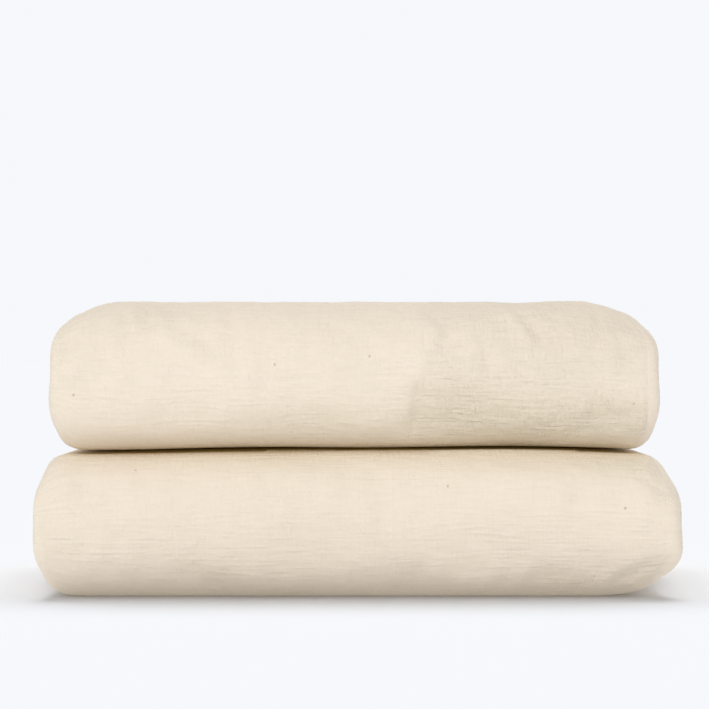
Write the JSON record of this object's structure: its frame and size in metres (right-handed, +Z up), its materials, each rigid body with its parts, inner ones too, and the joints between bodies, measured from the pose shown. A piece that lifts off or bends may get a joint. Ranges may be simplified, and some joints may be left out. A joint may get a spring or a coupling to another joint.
{
  "type": "folded flat sheet",
  "caption": "Flat bed sheet of undyed cotton gauze, folded into a low square bundle with two plump rounded folds at its front, for a shelf or bed.",
  "frame": {"origin": "middle of the bundle's footprint, on the surface that it lies on", "axes": "+Z up, -Y towards the two rounded front folds, +X along the folds to the right as seen from the front"},
  "size_m": [0.3344, 0.3138, 0.15],
  "materials": {
    "natural_cotton": "undyed cotton gauze, matt, slubby plain weave with fine crinkles and a few seed flecks"
  },
  "bodies": {
    "root": {"sheet": "natural_cotton"}
  },
  "joints": []
}
